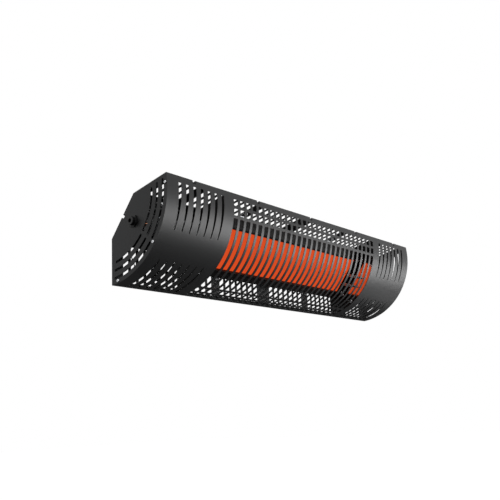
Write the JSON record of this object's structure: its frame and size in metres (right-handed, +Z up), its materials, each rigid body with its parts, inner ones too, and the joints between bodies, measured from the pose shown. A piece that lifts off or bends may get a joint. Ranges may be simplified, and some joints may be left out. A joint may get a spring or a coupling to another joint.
{
  "type": "ceramic radiant heater",
  "caption": "Long wall-hung radiant heater: a slotted arc cover over a glowing ceramic plaque burner, in a folded trapezoid housing with slotted end plates.",
  "frame": {"origin": "midway between the two wall-fixing holes, on the wall face of the lower sloped panel", "axes": "+X along the heater towards its electrode end, +Y into the wall, +Z up"},
  "size_m": [1.189, 0.1898, 0.2353],
  "materials": {
    "painted_dark": "satin dark grey powder coat",
    "frame_dark": "heat-darkened black",
    "polished_sheet": "polished",
    "plated_sheet": "plated, satin",
    "zinc": "bright zinc",
    "glowing_ceramic": "matt perforated ceramic, glowing",
    "insulator": "glazed",
    "fibre": "ceramic fibre",
    "brass": "turned",
    "copper": "drawn copper",
    "cast_metal": "die cast",
    "dark_plastic": "matt",
    "light_plastic": "matt",
    "rubber": "matt",
    "rod_steel": "heat-tinted"
  },
  "bodies": {
    "heater": {"rear_housing": "painted_dark", "front_cover": "painted_dark", "left_end_plate": "painted_dark", "right_end_plate": "painted_dark", "end_plate_screws": "zinc", "left_partition": "frame_dark", "right_partition": "frame_dark", "partition_screws": "zinc", "left_reflector": "polished_sheet", "right_reflector": "polished_sheet", "reflector_screws": "zinc", "burner_casing": "frame_dark", "burner_frame": "frame_dark", "burner_screws": "zinc", "plaque_gasket": "fibre", "ceramic_plaque_1": "glowing_ceramic", "ceramic_plaque_2": "glowing_ceramic", "ceramic_plaque_3": "glowing_ceramic", "ceramic_plaque_4": "glowing_ceramic", "ceramic_plaque_5": "glowing_ceramic", "ceramic_plaque_6": "glowing_ceramic", "ceramic_plaque_7": "glowing_ceramic", "burner_brackets": "plated_sheet", "bracket_screws": "zinc", "mixing_tube": "plated_sheet", "injector_bracket": "plated_sheet", "injector_screws": "zinc", "gas_injector": "brass", "outlet_pipe": "copper", "outlet_pipe_nut": "brass", "gas_valve_body": "cast_metal", "armature_tube_1": "zinc", "armature_tube_2": "zinc", "solenoid_coil_1": "dark_plastic", "solenoid_coil_2": "dark_plastic", "coil_nuts": "zinc", "valve_bracket": "plated_sheet", "valve_screws": "zinc", "inlet_fitting": "painted_dark", "inlet_locknut": "painted_dark", "inlet_pipe": "copper", "electrode_bracket": "plated_sheet", "electrode_screws": "zinc", "spark_insulator": "insulator", "spark_rod": "rod_steel", "flame_insulator": "insulator", "flame_rod": "rod_steel", "ignition_controller": "dark_plastic", "controller_spacers": "light_plastic", "controller_screws": "zinc", "terminal_block": "light_plastic", "cable_gland": "dark_plastic", "gland_locknut": "dark_plastic"},
    "valve_1": {"valve_plunger_1": "rod_steel", "valve_disc_1": "rubber"},
    "valve_2": {"valve_plunger_2": "rod_steel", "valve_disc_2": "rubber"}
  },
  "joints": [
    {"name": "valve_1_lift", "type": "slide", "parent": "heater", "child": "valve_1", "axis": [0, -0.6225, 0.7826], "range_m": [0, 0.0025], "stiffness_N_per_m": 400, "springref_m": -0.002},
    {"name": "valve_2_lift", "type": "slide", "parent": "heater", "child": "valve_2", "axis": [0, -0.6225, 0.7826], "range_m": [0, 0.0025], "stiffness_N_per_m": 400, "springref_m": -0.002}
  ],
  "couplings": [
    {"joint": "valve_2_lift", "follows": "valve_1_lift", "ratio": 1}
  ]
}
